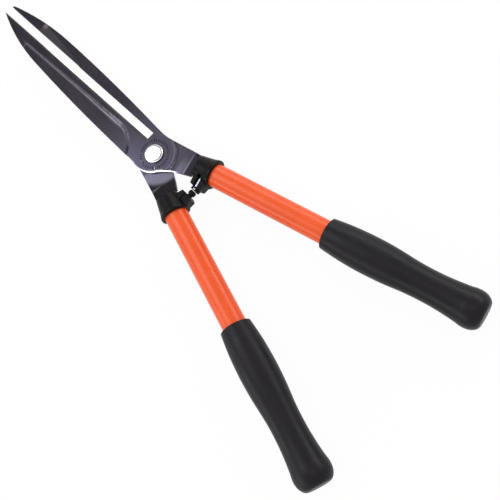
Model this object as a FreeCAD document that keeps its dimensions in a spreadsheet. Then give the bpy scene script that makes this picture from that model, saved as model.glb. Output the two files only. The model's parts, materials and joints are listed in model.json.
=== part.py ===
import FreeCAD, Part
import math
import os
import Sketcher

# Hedge shears: two crossed forged halves on one pivot bolt.
# +Z is up along the pivot, +Y points at the blade tips, +X lies on the side of the upper half's handle.
# The origin is on the pivot axis in the bench plane, where the bolt end and the grips come to rest.
# Each half is drawn in its own frame: x and y as seen from above on the upper half, z = 0 on the
# sliding face. The lower half is the same forging turned over about the Y axis.

SIZES = {
    # Forging, seen from above
    "blade_reach": 250.5,
    "tip_inset": 4.2,
    "lower_tip_x": 6.8,
    "lower_tip_y": 247.9,
    "edge_root_x": 6.6,
    "shoulder_y": 17.5,
    "back_root_x": 19.6,
    "back_root_y": 23.0,
    "back_swell": 20.9,
    "back_swell_y": 100.0,
    "back_turn_x": 19.65,
    "back_turn_y": 170.0,
    "back_run_x": 13.9,
    "back_run_y": 219.0,
    "boss_radius": 21.3,
    "boss_side_x": 19.5,
    "boss_heel_x": 13.2,
    "boss_heel_y": 10.4,
    "tang_width": 20.3,
    "tang_flare": 1.3,
    "tang_root_x": 18.8,
    "tang_root_y": 7.5,
    "crotch_x": 0.3,
    "crotch_y": 25.0,
    "heel_bow": 0.7,
    # Forging, seen from the side
    "boss_thickness": 5.0,
    "tang_step": 1.1,
    "tip_thickness": 2.0,
    "taper_start_y": 30.0,
    "recess_floor": 2.4,
    "recess_end_y": 200.0,
    "recess_end_x": 11.7,
    "recess_turn_y": 52.0,
    "recess_turn_x": 3.9,
    "recess_bow_x": 10.0,
    "recess_bow_y": 33.0,
    "recess_root_y": 28.0,
    "recess_draft": 52.0,
    "land_tip_x": 3.8,
    "land_root_x": 13.86,
    "land_root_y": 8.0,
    "relief_angle": 2.2,
    "hollow_depth": 0.5,
    "hollow_tip_x": 15.9,
    "hollow_tip_y": 201.8,
    "hollow_meet_y": 133.6,
    "edge_flat": 0.6,
    "edge_angle": 62.0,
    "tang_bend_start": 28.3,
    "tang_bend_outside": 31.2,
    "tang_bend_end": 41.0,
    "tail_width": 13.0,
    "tail_thickness": 4.4,
    "tail_end": 78.0,
    "running_gap": 0.1,
    # Handles
    "handle_offset": 9.82,
    "handle_angle": 15.0,
    "tube_radius": 11.1,
    "tube_wall": 1.2,
    "tube_start": 53.8,
    "tube_end": 308.0,
    "sleeve_length": 34.0,
    "cross_pin_radius": 2.0,
    "cross_pin_inset": 3.2,
    "slip_fit": 0.1,
    # Ferrules and their stop lugs
    "ferrule_front": 39.2,
    "ferrule_front_bow": 2.5,
    "ferrule_front_margin": 0.55,
    "ferrule_waist_skin": 1.8,
    "ferrule_waist_place": 52.8,
    "ferrule_lip_skin": 3.2,
    "ferrule_lip_start": 58.1,
    "ferrule_end": 60.4,
    "ferrule_round": 0.7,
    "lug_face_x": 4.6,
    "lug_front_y": 47.1,
    "lug_shoulder_x": 10.9,
    "lug_shoulder_y": 44.9,
    "lug_back_y": 60.2,
    "lug_back_x": 6.2,
    "lug_chamfer_y": 57.4,
    "lug_root_x": 16.0,
    "lug_height": 12.0,
    "stop_y": 54.0,
    "collar_radius": 4.8,
    "collar_end_x": 1.5,
    "buffer_face_x": 1.1,
    "buffer_radius": 3.6,
    "buffer_neck_radius": 2.6,
    "buffer_neck": 1.5,
    "buffer_round": 1.1,
    "buffer_block_rise": 5.2,
    "pocket_inner_x": 5.6,
    "pocket_length": 6.8,
    "pocket_width": 5.8,
    "striker_radius": 1.9,
    "striker_rise": 2.0,
    "striker_length": 14.6,
    "striker_nose_x": 1.9,
    "striker_nose": 0.8,
    "striker_notch": 1.7,
    "striker_cover": 3.4,
    # Grips
    "grip_length": 149.0,
    "grip_butt": 20.7,
    "grip_front_skin": 3.2,
    "grip_front_round": 1.8,
    "grip_swell_skin": 5.9,
    "grip_bulb_skin": 6.1,
    "grip_butt_drop": 6.6,
    "plug_depth": 14.0,
    "plug_flange": 1.6,
    # Pivot
    "bolt_head_radius": 8.9,
    "bolt_head_height": 3.3,
    "bolt_head_round": 0.8,
    "bolt_neck_radius": 5.0,
    "bolt_neck_flats": 8.2,
    "bolt_thread_radius": 4.0,
    "bolt_tail": 1.0,
    "bush_radius": 6.0,
    "pivot_clearance": 0.05,
    "washer_radius": 10.0,
    "washer_thickness": 1.5,
    "washer_play": 0.25,
    "spring_radius": 8.2,
    "spring_thickness": 0.9,
    "spring_height": 1.75,
    "nut_across": 13.0,
    "nut_height": 7.9,
    "nut_chamfer": 0.9,
    "ring_radius": 5.3,
    "ring_height": 2.0,
    # One overrun for every cut
    "overrun": 6.0,
}

# Shares of the sizes that they follow
HALF_SHARE = 0.5
SHOULDER_END_SHARE = 0.64
BOSS_CROWN_X_SHARE = 0.79
BOSS_CROWN_Y_SHARE = 0.6
HEEL_TURN_SHARE = 0.35

# Stations along the grip as shares of its length, with the skin over the tube as shares of the swell's
GRIP_SWELL_SHARES = [
    (0.055, 0.69),
    (0.12, 0.85),
    (0.2, 0.96),
    (0.295, 1.0),
    (0.385, 0.93),
    (0.46, 0.8),
    (0.525, 0.65),
    (0.585, 0.56),
    (0.65, 0.525),
    (0.72, 0.56),
]

# The same for the end bulb, with the skin as shares of the bulb's
GRIP_BULB_SHARES = [
    (0.795, 0.655),
    (0.863, 0.835),
    (0.893, 0.955),
    (0.923, 1.0),
    (0.953, 0.88),
    (0.972, 0.67),
]

# Angles in degrees and the sides of a nut
HALF_TURN = 180.0
QUARTER_TURN = 90.0
THIRD_TURN = 120.0
NUT_SLOPE = 30.0
HEX_SIDES = 6

doc = FreeCAD.newDocument("hedge_shears")
sheet = doc.addObject("Spreadsheet::Sheet", "Sizes")
for row, (alias, number) in enumerate(SIZES.items(), start=1):
    sheet.set(f"A{row}", alias)
    sheet.set(f"B{row}", str(number))
    sheet.setAlias(f"B{row}", alias)
doc.recompute()


class Size:
    """A size that carries both its value and the spreadsheet formula behind it."""

    def __init__(self, value, formula):
        self.value = value
        self.formula = formula

    def __add__(self, other):
        other = as_size(other)
        return Size(self.value + other.value, f"({self.formula} + {other.formula})")

    def __sub__(self, other):
        other = as_size(other)
        return Size(self.value - other.value, f"({self.formula} - {other.formula})")

    def __mul__(self, other):
        other = as_size(other)
        return Size(self.value * other.value, f"({self.formula} * {other.formula})")

    def __truediv__(self, other):
        other = as_size(other)
        return Size(self.value / other.value, f"({self.formula} / {other.formula})")

    def __neg__(self):
        return Size(-self.value, f"(-{self.formula})")

    def half(self):
        return self * HALF_SHARE


def as_size(number):
    return number if isinstance(number, Size) else Size(float(number), str(number))


def named(alias):
    return Size(float(SIZES[alias]), f"Sizes.{alias}")


def sine(angle):
    return Size(math.sin(math.radians(angle.value)), f"sin({angle.formula})")


def cosine(angle):
    return Size(math.cos(math.radians(angle.value)), f"cos({angle.formula})")


def tangent(angle):
    return Size(math.tan(math.radians(angle.value)), f"tan({angle.formula})")


def root(square):
    return Size(math.sqrt(square.value), f"sqrt({square.formula})")


ZERO = as_size(0)
UP = FreeCAD.Vector(0, 0, 1)

# Heights that follow from the stack under the blades
stack_height = named("bolt_tail") + named("nut_height") + named("spring_height") + named("washer_thickness")
half_gap = named("running_gap").half()
sliding_plane = stack_height + named("boss_thickness") + half_gap


def vector(x=ZERO, y=ZERO, z=ZERO):
    return FreeCAD.Vector(as_size(x).value, as_size(y).value, as_size(z).value)


def turned(axis, degrees, place=None):
    return FreeCAD.Placement(place or FreeCAD.Vector(), FreeCAD.Rotation(axis, degrees))


def half_frame(upper, lift=ZERO):
    """The frame of one half: lift raises it off the sliding plane on its own side."""
    height = sliding_plane + lift if upper else sliding_plane - lift
    return turned(FreeCAD.Vector(0, 1, 0), 0 if upper else HALF_TURN, vector(z=height))


def handle_in_half():
    """The handle's frame inside its half: x runs out along the tube axis, y away from the other handle."""
    return turned(UP, named("handle_angle").value - QUARTER_TURN, vector(named("handle_offset")))


def handle_frame(upper):
    return half_frame(upper).multiply(handle_in_half())


def on_handle(along, across):
    """A point of the handle's frame, given in the frame of its half."""
    angle = named("handle_angle")
    x = named("handle_offset") + sine(angle) * along + cosine(angle) * across
    y = sine(angle) * across - cosine(angle) * along
    return x, y


def cross_pin_centre():
    """The cross pin's axis stands just inside the tube's front end."""
    return named("tube_start") + named("cross_pin_inset"), ZERO


def new_body(label, placement):
    body = doc.addObject("PartDesign::Body", label)
    body.Label = label
    body.Placement = placement
    return body


def new_sketch(body, name, role, offset=None):
    plane = next(item for item in body.Origin.OriginFeatures if item.Role == role)
    sketch = body.newObject("Sketcher::SketchObject", f"{body.Label}_{name}")
    sketch.AttachmentSupport = (plane, [""])
    sketch.MapMode = "FlatFace"
    if offset is not None:
        sketch.AttachmentOffset = offset
    return sketch


def bind_point(sketch, geometry, end, point):
    for kind, size in zip(("DistanceX", "DistanceY"), point):
        size = as_size(size)
        index = sketch.addConstraint(Sketcher.Constraint(kind, -1, 1, geometry, end, size.value))
        if "Sizes" in size.formula:
            sketch.setExpression(f"Constraints[{index}]", size.formula)


def line_to(x, y):
    return ((x, y),)


def arc_to(through, end):
    return (through, end)


def draw_outline(sketch, start, steps):
    """A closed outline from start, through steps made by line_to and arc_to, and back to start."""
    here = start
    joints = []
    for step in steps:
        there = step[-1]
        begin = vector(*here)
        finish = vector(*there)
        ends = (1, 2)
        if len(step) > 1:
            middle = vector(*step[0])
            index = sketch.addGeometry(Part.Arc(begin, middle, finish), False)
            if (middle - begin).cross(finish - begin).z < 0:
                ends = (2, 1)
        else:
            index = sketch.addGeometry(Part.LineSegment(begin, finish), False)
        bind_point(sketch, index, ends[0], here)
        joints.append((index, ends))
        here = there
    for (index, ends), (following, next_ends) in zip(joints, joints[1:] + joints[:1]):
        sketch.addConstraint(Sketcher.Constraint("Coincident", index, ends[1], following, next_ends[0]))


def draw_rectangle(sketch, low, high):
    (left, bottom), (right, top) = low, high
    draw_outline(sketch, (left, bottom), [
        line_to(right, bottom),
        line_to(right, top),
        line_to(left, top),
        line_to(left, bottom),
    ])


def draw_circle(sketch, radius, centre=(ZERO, ZERO)):
    radius = as_size(radius)
    index = sketch.addGeometry(Part.Circle(vector(*centre), UP, radius.value), False)
    bind_point(sketch, index, 3, centre)
    radius_index = sketch.addConstraint(Sketcher.Constraint("Radius", index, radius.value))
    sketch.setExpression(f"Constraints[{radius_index}]", radius.formula)


def draw_flatted_circle(sketch, radius, flats):
    """A circle with two flats, the flats' distance apart along x."""
    side = flats.half()
    rise = root(radius * radius - side * side)
    draw_outline(sketch, (side, -rise), [
        line_to(side, rise),
        arc_to((ZERO, radius), (-side, rise)),
        line_to(-side, -rise),
        arc_to((ZERO, -radius), (side, -rise)),
    ])


def draw_hexagon(sketch, across):
    """A regular hexagon about the origin, with two flats facing along x."""
    step = HALF_TURN / HEX_SIDES
    corner = across.half() / cosine(as_size(step))
    points = []
    for side in range(HEX_SIDES):
        angle = as_size(step + side * (step + step))
        points.append((corner * cosine(angle), corner * sine(angle)))
    draw_outline(sketch, points[-1], [line_to(*point) for point in points])


def bind(feature, prop, size):
    size = as_size(size)
    setattr(feature, prop, size.value)
    feature.setExpression(prop, size.formula)


def grow(sketch, length, reverse=False, both_ways=False):
    pad = sketch.getParentGeoFeatureGroup().newObject("PartDesign::Pad", f"{sketch.Name}_pad")
    pad.Profile = sketch
    bind(pad, "Length", length)
    pad.Reversed = reverse
    pad.Midplane = both_ways
    return pad


def cut(sketch, depth, reverse=False, both_ways=False, draft=None):
    pocket = sketch.getParentGeoFeatureGroup().newObject("PartDesign::Pocket", f"{sketch.Name}_cut")
    pocket.Profile = sketch
    bind(pocket, "Length", depth)
    pocket.Reversed = reverse
    pocket.Midplane = both_ways
    if draft is not None:
        bind(pocket, "TaperAngle", draft)
    return pocket


def revolve(sketch, axis="H_Axis", kind="Revolution"):
    feature = sketch.getParentGeoFeatureGroup().newObject(f"PartDesign::{kind}", f"{sketch.Name}_{kind}")
    feature.Profile = sketch
    feature.ReferenceAxis = (sketch, [axis])
    feature.Angle = HALF_TURN + HALF_TURN
    return feature


def lifted(height):
    """Shifts a sketch along the normal of its plane."""
    return FreeCAD.Placement(vector(z=height), FreeCAD.Rotation())


def draw_forging(sketch, upper):
    """Blade, boss, tang and tail in one closed outline, starting at the tip, which is blunt below."""
    shoulder = named("shoulder_y")
    boss = named("boss_radius")
    side = named("boss_side_x")
    heel = named("boss_heel_y")
    half_tang = named("tang_width").half()
    half_tail = named("tail_width").half()
    tang_end = named("ferrule_front") - named("slip_fit")
    bow = named("heel_bow")
    crotch = (named("crotch_x"), -named("crotch_y"))
    heel_end = (-named("boss_heel_x"), -heel)
    heel_middle = ((crotch[0] + heel_end[0]).half() + bow, (crotch[1] + heel_end[1]).half() + bow)
    tip = (-named("tip_inset"), named("blade_reach"))
    back_end = tip if upper else (-named("lower_tip_x"), named("lower_tip_y"))
    draw_outline(sketch, tip, [
        line_to(named("edge_root_x"), shoulder),
        line_to(boss * SHOULDER_END_SHARE, shoulder),
        arc_to(
            (boss * BOSS_CROWN_X_SHARE, boss * BOSS_CROWN_Y_SHARE),
            (named("tang_root_x"), named("tang_root_y")),
        ),
        line_to(*on_handle(tang_end, half_tang)),
        line_to(*on_handle(tang_end, half_tail)),
        line_to(*on_handle(named("tail_end"), half_tail)),
        line_to(*on_handle(named("tail_end"), -half_tail)),
        line_to(*on_handle(tang_end, -half_tail)),
        line_to(*on_handle(tang_end, -half_tang - named("tang_flare"))),
        line_to(*crotch),
        arc_to(heel_middle, heel_end),
        arc_to((-side + bow + bow, -heel * HEEL_TURN_SHARE), (-side, heel)),
        line_to(-named("back_root_x"), named("back_root_y")),
        arc_to((-named("back_swell"), named("back_swell_y")), (-named("back_turn_x"), named("back_turn_y"))),
        arc_to((-named("back_run_x"), named("back_run_y")), back_end),
        *([] if upper else [line_to(*tip)]),
    ])


def across_line(root_point, tip_point):
    """Places an upright sketch square to a line over the sliding face, at its root end."""
    run = vector(*tip_point) - vector(*root_point)
    turn = math.degrees(math.atan2(-run.x, run.y))
    return turned(FreeCAD.Vector(0, 1, 0), turn, vector(root_point[0], ZERO, -root_point[1]))


def forge_blade(label, upper):
    """One forged half: sliding face at z = 0, thickness towards +z, tang bent back to the tube axis."""
    body = new_body(label, half_frame(upper, half_gap))
    thick = named("boss_thickness")
    over = named("overrun")
    reach = named("blade_reach")
    tail_low = -named("tail_thickness").half() - half_gap
    tail_top = named("tail_thickness").half() - half_gap
    bend_start = -named("tang_bend_start")
    bend_end = -named("tang_bend_end")

    outline = new_sketch(body, "outline", "XY_Plane", lifted(tail_low))
    draw_forging(outline, upper)
    grow(outline, thick - tail_low)

    # The sliding face is flat over blade and boss and drops to the tail beyond the bend
    along_handle = turned(FreeCAD.Vector(0, 1, 0), named("handle_angle").value)
    underside = new_sketch(body, "underside", "YZ_Plane", along_handle)
    draw_outline(underside, (reach + over, ZERO), [
        line_to(bend_start, ZERO),
        line_to(bend_end, tail_low),
        line_to(bend_end, tail_low - over),
        line_to(reach + over, tail_low - over),
        line_to(reach + over, ZERO),
    ])
    cut(underside, reach, both_ways=True)

    # The tang's outside lies a step below the boss, then follows the bend
    tang_top = thick - named("tang_step")
    bend = new_sketch(body, "bend", "YZ_Plane", along_handle)
    bend_outside = -named("tang_bend_outside")
    draw_outline(bend, (bend_outside, tang_top), [
        line_to(bend_end, tail_top),
        line_to(-named("tail_end") - over, tail_top),
        line_to(-named("tail_end") - over, thick + over),
        line_to(bend_outside, thick + over),
        line_to(bend_outside, tang_top),
    ])
    cut(bend, reach, both_ways=True)
    boss = named("boss_radius")
    step = new_sketch(body, "boss_step", "XY_Plane", lifted(tang_top))
    draw_outline(step, (-reach, ZERO), [
        line_to(-boss, ZERO),
        arc_to((ZERO, -boss), (boss, ZERO)),
        line_to(reach, ZERO),
        line_to(reach, -reach),
        line_to(-reach, -reach),
        line_to(-reach, ZERO),
    ])
    cut(step, named("tang_step") + over, reverse=True)

    # The blade thins towards its tip
    tip_top = named("tip_thickness")
    taper = new_sketch(body, "taper", "YZ_Plane")
    draw_outline(taper, (named("taper_start_y"), thick), [
        line_to(reach, tip_top),
        line_to(reach + over, tip_top),
        line_to(reach + over, thick + over),
        line_to(named("taper_start_y"), thick + over),
        line_to(named("taper_start_y"), thick),
    ])
    cut(taper, reach, both_ways=True)

    # The forged recess between the rib and the back, with a sloping wall
    outside = -named("back_swell") - over - over
    recess_root = named("recess_root_y") - over
    recess_tip = (-named("recess_end_x"), named("recess_end_y"))
    recess = new_sketch(body, "recess", "XY_Plane", lifted(named("recess_floor")))
    draw_outline(recess, recess_tip, [
        line_to(-named("recess_turn_x"), named("recess_turn_y")),
        arc_to((-named("recess_bow_x"), named("recess_bow_y")), (-named("back_root_x") - over, recess_root)),
        line_to(outside, recess_root),
        line_to(outside, named("recess_end_y")),
        line_to(*recess_tip),
    ])
    cut(recess, thick, reverse=True, draft=named("recess_draft"))

    # The sliding face keeps a ground land along the edge and falls away towards the back
    land_root = (-named("land_root_x"), named("land_root_y"))
    land_tip = (-named("land_tip_x"), reach)
    relief = new_sketch(body, "relief", "XZ_Plane", across_line(land_root, land_tip))
    relief_width = named("back_swell") + over
    draw_outline(relief, (ZERO, ZERO), [
        line_to(-relief_width, tangent(named("relief_angle")) * relief_width),
        line_to(-relief_width, -over),
        line_to(ZERO, -over),
        line_to(ZERO, ZERO),
    ])
    cut(relief, reach + over)

    # Inside that relief lies a deeper hollow, which runs out before the tip
    meet_share = (named("hollow_meet_y") - land_root[1]) / (reach - land_root[1])
    meet_x = land_root[0] + (land_tip[0] - land_root[0]) * meet_share
    hollow = new_sketch(body, "hollow", "XY_Plane", lifted(named("hollow_depth")))
    draw_outline(hollow, (-named("hollow_tip_x"), named("hollow_tip_y")), [
        line_to(meet_x, named("hollow_meet_y")),
        line_to(*land_root),
        line_to(outside, land_root[1]),
        line_to(outside, named("hollow_tip_y") + over + over),
        line_to(-named("hollow_tip_x"), named("hollow_tip_y")),
    ])
    cut(hollow, named("hollow_depth") + over)

    # The cutting edge is ground at a steep angle above a thin flat
    edge_root = (named("edge_root_x"), named("shoulder_y"))
    edge_tip = (-named("tip_inset"), reach)
    edge = new_sketch(body, "edge", "XZ_Plane", across_line(edge_root, edge_tip))
    edge_rise = tangent(named("edge_angle")) * over
    draw_outline(edge, (ZERO, named("edge_flat")), [
        line_to(-over, named("edge_flat") + edge_rise),
        line_to(over, named("edge_flat") + edge_rise),
        line_to(over, named("edge_flat")),
        line_to(ZERO, named("edge_flat")),
    ])
    cut(edge, reach + over)

    # The bore holds the bush on the upper half, and the bolt's flatted neck on the lower one
    bore = new_sketch(body, "bore", "XY_Plane", lifted(thick))
    clearance = named("pivot_clearance")
    if upper:
        draw_circle(bore, named("bush_radius") + clearance)
    else:
        flats = named("bolt_neck_flats") + clearance + clearance
        draw_flatted_circle(bore, named("bolt_neck_radius") + clearance, flats)
    cut(bore, thick + over)

    # The cross pin's hole through the tail
    pin_hole = new_sketch(body, "pin_hole", "XY_Plane", lifted(thick))
    draw_circle(pin_hole, named("cross_pin_radius") + clearance, on_handle(*cross_pin_centre()))
    cut(pin_hole, thick - tail_low + over)


def over_tube(alias):
    """The radius of a skin of named thickness over the handle tube."""
    return named("tube_radius") + named(alias)


def build_tube(label, upper):
    body = new_body(label, handle_frame(upper))
    ring = new_sketch(body, "ring", "YZ_Plane", lifted(named("tube_start")))
    draw_circle(ring, named("tube_radius"))
    draw_circle(ring, named("tube_radius") - named("tube_wall"))
    grow(ring, named("tube_end") - named("tube_start"))
    pin_hole = new_sketch(body, "pin_hole", "XY_Plane")
    draw_circle(pin_hole, named("cross_pin_radius") + named("pivot_clearance"), cross_pin_centre())
    cut(pin_hole, (named("tube_radius") + named("overrun")) / HALF_SHARE, both_ways=True)


def build_tang_sleeve(label, upper):
    """The plug inside the tube that grips the tail of the forging."""
    body = new_body(label, handle_frame(upper))
    fit = named("slip_fit")
    start = named("tube_start")
    disc = new_sketch(body, "disc", "YZ_Plane", lifted(start))
    draw_circle(disc, named("tube_radius") - named("tube_wall") - fit)
    grow(disc, named("sleeve_length"))
    slot = new_sketch(body, "slot", "YZ_Plane", lifted(start))
    draw_tail_slot(slot)
    cut(slot, named("tail_end") + fit - start, reverse=True)
    pin_hole = new_sketch(body, "pin_hole", "XY_Plane")
    draw_circle(pin_hole, named("cross_pin_radius") + named("pivot_clearance"), cross_pin_centre())
    cut(pin_hole, (named("tube_radius") + named("overrun")) / HALF_SHARE, both_ways=True)


def draw_tail_slot(sketch):
    side = named("tail_width").half() + named("slip_fit")
    rise = named("tail_thickness").half() + named("slip_fit")
    draw_rectangle(sketch, (-side, -rise), (side, rise))


def build_tang_pin(label, upper):
    """The cross pin through tube, sleeve and tail, hidden under the ferrule."""
    body = new_body(label, handle_frame(upper))
    circle = new_sketch(body, "circle", "XY_Plane")
    draw_circle(circle, named("cross_pin_radius"), cross_pin_centre())
    grow(circle, (named("tube_radius") - named("tube_wall").half()) / HALF_SHARE, both_ways=True)


def facing_other_half(x):
    """Places a sketch, drawn on the handle's XY plane, square to the stop's line of action."""
    upright = turned(FreeCAD.Vector(1, 1, 1), THIRD_TURN, vector(x, -named("stop_y")))
    return handle_in_half().inverse().multiply(upright)


def build_ferrule(label, upper):
    """The moulded collar between tang and tube, with the stop lug on its inner side."""
    body = new_body(label, handle_frame(upper))
    fit = named("slip_fit")
    over = named("overrun")
    front = named("ferrule_front")
    front_radius = named("tang_width").half() + named("ferrule_front_margin")
    lip = over_tube("ferrule_lip_skin")
    soft = named("ferrule_round")
    end = named("ferrule_end")
    bowed_front = front + named("ferrule_front_bow")

    cone = new_sketch(body, "cone", "XY_Plane")
    draw_outline(cone, (front - over, ZERO), [
        line_to(front - over, front_radius),
        line_to(front, front_radius),
        line_to(named("ferrule_waist_place"), over_tube("ferrule_waist_skin")),
        line_to(named("ferrule_lip_start"), lip),
        line_to(end - soft, lip),
        line_to(end, lip - soft),
        line_to(end, ZERO),
        line_to(front - over, ZERO),
    ])
    revolve(cone)

    # Seen from its side the front is bowed, and reaches furthest along the tang
    bow = new_sketch(body, "bow", "XZ_Plane")
    draw_outline(bow, (bowed_front, front_radius), [
        arc_to((front, ZERO), (bowed_front, -front_radius)),
        line_to(bowed_front, -front_radius - over),
        line_to(front - over - over, -front_radius - over),
        line_to(front - over - over, front_radius + over),
        line_to(bowed_front, front_radius + over),
        line_to(bowed_front, front_radius),
    ])
    cut(bow, (front_radius + over) / HALF_SHARE, both_ways=True)

    # The lug is drawn in the half's own frame, so the two lugs face each other squarely
    face = named("lug_face_x")
    lug = new_sketch(body, "lug", "XY_Plane", handle_in_half().inverse())
    draw_outline(lug, (face, -named("lug_front_y")), [
        line_to(named("lug_shoulder_x"), -named("lug_shoulder_y")),
        line_to(named("lug_root_x"), -named("lug_front_y")),
        line_to(named("lug_root_x"), -named("lug_back_y")),
        line_to(named("lug_back_x"), -named("lug_back_y")),
        line_to(face, -named("lug_chamfer_y")),
        line_to(face, -named("lug_front_y")),
    ])
    grow(lug, named("lug_height"), both_ways=True)
    if upper:
        collar = new_sketch(body, "collar", "XY_Plane", facing_other_half(named("collar_end_x")))
        draw_circle(collar, named("collar_radius"))
        grow(collar, face - named("collar_end_x") + over)

    # The tube's seat and the slot for the tail
    tube_seat = named("tube_start") - fit
    seat = new_sketch(body, "seat", "XY_Plane")
    draw_rectangle(seat, (tube_seat, ZERO), (end + over, named("tube_radius") + fit))
    revolve(seat, kind="Groove")
    slot = new_sketch(body, "slot", "YZ_Plane", lifted(tube_seat))
    draw_tail_slot(slot)
    cut(slot, tube_seat - front + over)

    if upper:
        # The steel striker lies in a bore through the collar, open above its nose and behind the collar
        half_width = named("striker_radius") + fit
        place, nose = striker_place()
        rise = named("striker_rise")
        cover = named("striker_cover")
        bore = new_sketch(body, "bore", "XZ_Plane", lifted(-nose + over))
        draw_circle(bore, half_width, (place, rise))
        cut(bore, named("striker_length") + over + fit)
        notch = new_sketch(body, "notch", "XZ_Plane", lifted(-nose + over))
        draw_rectangle(notch, (place - half_width, rise), (place + half_width, lip + over))
        cut(notch, named("striker_notch") + over)
        channel = new_sketch(body, "channel", "XZ_Plane", lifted(-nose - cover))
        draw_rectangle(channel, (place - half_width, rise), (place + half_width, lip + over))
        cut(channel, named("striker_length") - cover + fit)
    else:
        # A pocket, open on the face that lies uppermost, holds the buffer's tail
        inner = named("pocket_inner_x")
        half_width = named("pocket_width").half()
        pocket = new_sketch(body, "pocket", "XY_Plane", pocket_floor())
        draw_rectangle(
            pocket,
            (inner, -named("stop_y") - half_width),
            (inner + named("pocket_length"), half_width - named("stop_y")),
        )
        cut(pocket, named("lug_height") + over)
        neck = new_sketch(body, "neck", "XY_Plane", facing_other_half(inner + fit))
        draw_circle(neck, named("buffer_neck_radius") + fit)
        cut(neck, inner - face + over)


def pocket_floor():
    floor = lifted(named("buffer_neck_radius") + named("slip_fit"))
    return handle_in_half().inverse().multiply(floor)


def striker_place():
    """Where the striker lies in the handle's frame: its place along the tube and its nose across it."""
    angle = named("handle_angle")
    x = named("striker_nose_x") - named("handle_offset")
    y = -named("stop_y")
    return sine(angle) * x - cosine(angle) * y, cosine(angle) * x + sine(angle) * y


def build_striker(label):
    """The steel pin, its nose bevelled, that backs the collar where it meets the buffer."""
    place, nose = striker_place()
    frame = handle_frame(True).multiply(turned(UP, QUARTER_TURN, vector(place, nose, named("striker_rise"))))
    body = new_body(label, frame)
    radius = named("striker_radius")
    nose = named("striker_nose")
    profile = new_sketch(body, "profile", "XY_Plane")
    draw_outline(profile, (ZERO, ZERO), [
        line_to(ZERO, radius - nose),
        line_to(nose, radius),
        line_to(named("striker_length"), radius),
        line_to(named("striker_length"), ZERO),
        line_to(ZERO, ZERO),
    ])
    revolve(profile)


def build_buffer(label):
    """The rubber stop: a block in the lug's pocket, a neck through its wall and a rounded head."""
    frame = half_frame(False).multiply(turned(UP, 0, vector(y=-named("stop_y"))))
    body = new_body(label, frame)
    head = named("buffer_radius")
    neck = named("buffer_neck_radius")
    soft = named("buffer_round")
    head_start = named("lug_face_x") - named("buffer_neck")
    tip = -named("buffer_face_x")
    tail_end = named("pocket_inner_x") + named("pocket_length") - named("slip_fit")
    profile = new_sketch(body, "profile", "XY_Plane")
    draw_outline(profile, (tip, ZERO), [
        line_to(tip, head - soft),
        line_to(tip + soft, head),
        line_to(head_start, head),
        line_to(head_start, neck),
        line_to(tail_end, neck),
        line_to(tail_end, ZERO),
        line_to(tip, ZERO),
    ])
    revolve(profile)
    half_width = named("pocket_width").half() - named("slip_fit")
    block = new_sketch(body, "block", "XY_Plane", lifted(neck))
    draw_rectangle(block, (named("pocket_inner_x") + named("slip_fit"), -half_width), (tail_end, half_width))
    grow(block, neck + named("buffer_block_rise"), reverse=True)


def build_grip(label, upper):
    body = new_body(label, handle_frame(upper))
    end = named("tube_end") + named("grip_butt")
    start = end - named("grip_length")
    front = over_tube("grip_front_skin")
    soft = named("grip_front_round")
    bore = named("tube_radius") + named("slip_fit")
    bore_end = named("tube_end") + named("plug_flange") + named("slip_fit")
    stations = []
    for shares, alias in ((GRIP_SWELL_SHARES, "grip_swell_skin"), (GRIP_BULB_SHARES, "grip_bulb_skin")):
        for place, thickness in shares:
            radius = named("tube_radius") + named(alias) * thickness
            stations.append(line_to(start + (end - start) * place, radius))
    skin = new_sketch(body, "skin", "XY_Plane")
    draw_outline(skin, (start, bore), [
        line_to(start, front - soft),
        line_to(start + soft.half(), front),
        *stations,
        line_to(end, over_tube("grip_bulb_skin") - named("grip_butt_drop")),
        line_to(end, ZERO),
        line_to(bore_end, ZERO),
        line_to(bore_end, bore),
        line_to(start, bore),
    ])
    revolve(skin)


def build_tube_plug(label, upper):
    """The flanged plug that closes the tube's end inside the grip."""
    body = new_body(label, handle_frame(upper))
    end = named("tube_end")
    stem = named("tube_radius") - named("tube_wall") - named("slip_fit")
    profile = new_sketch(body, "profile", "XY_Plane")
    draw_outline(profile, (end - named("plug_depth"), ZERO), [
        line_to(end - named("plug_depth"), stem),
        line_to(end, stem),
        line_to(end, named("tube_radius")),
        line_to(end + named("plug_flange"), named("tube_radius")),
        line_to(end + named("plug_flange"), ZERO),
        line_to(end - named("plug_depth"), ZERO),
    ])
    revolve(profile)


def build_pivot_bolt(label):
    """Bevelled head, round bearing, flatted neck in the lower blade and a threaded end."""
    body = new_body(label, FreeCAD.Placement())
    head = named("bolt_head_radius")
    soft = named("bolt_head_round")
    neck = named("bolt_neck_radius")
    thread = named("bolt_thread_radius")
    seat = sliding_plane + half_gap + named("boss_thickness") + named("running_gap")
    top = seat + named("bolt_head_height")
    profile = new_sketch(body, "profile", "XZ_Plane")
    draw_outline(profile, (ZERO, ZERO), [
        line_to(thread - soft, ZERO),
        line_to(thread, soft),
        line_to(thread, stack_height),
        line_to(neck, stack_height),
        line_to(neck, seat),
        line_to(head, seat),
        line_to(head, top - soft),
        line_to(head - soft, top),
        line_to(ZERO, top),
        line_to(ZERO, ZERO),
    ])
    revolve(profile, "V_Axis")
    side = named("bolt_neck_flats").half()
    for name, low, high in (("flat_right", side, neck + neck), ("flat_left", -neck - neck, -side)):
        flat = new_sketch(body, name, "XY_Plane", lifted(stack_height))
        draw_rectangle(flat, (low, -neck), (high, neck))
        cut(flat, named("boss_thickness"), reverse=True)


def build_ring(label, bottom, height, outer, inner):
    body = new_body(label, FreeCAD.Placement())
    ring = new_sketch(body, "ring", "XY_Plane", lifted(bottom))
    draw_circle(ring, outer)
    draw_circle(ring, inner)
    grow(ring, height)


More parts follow.
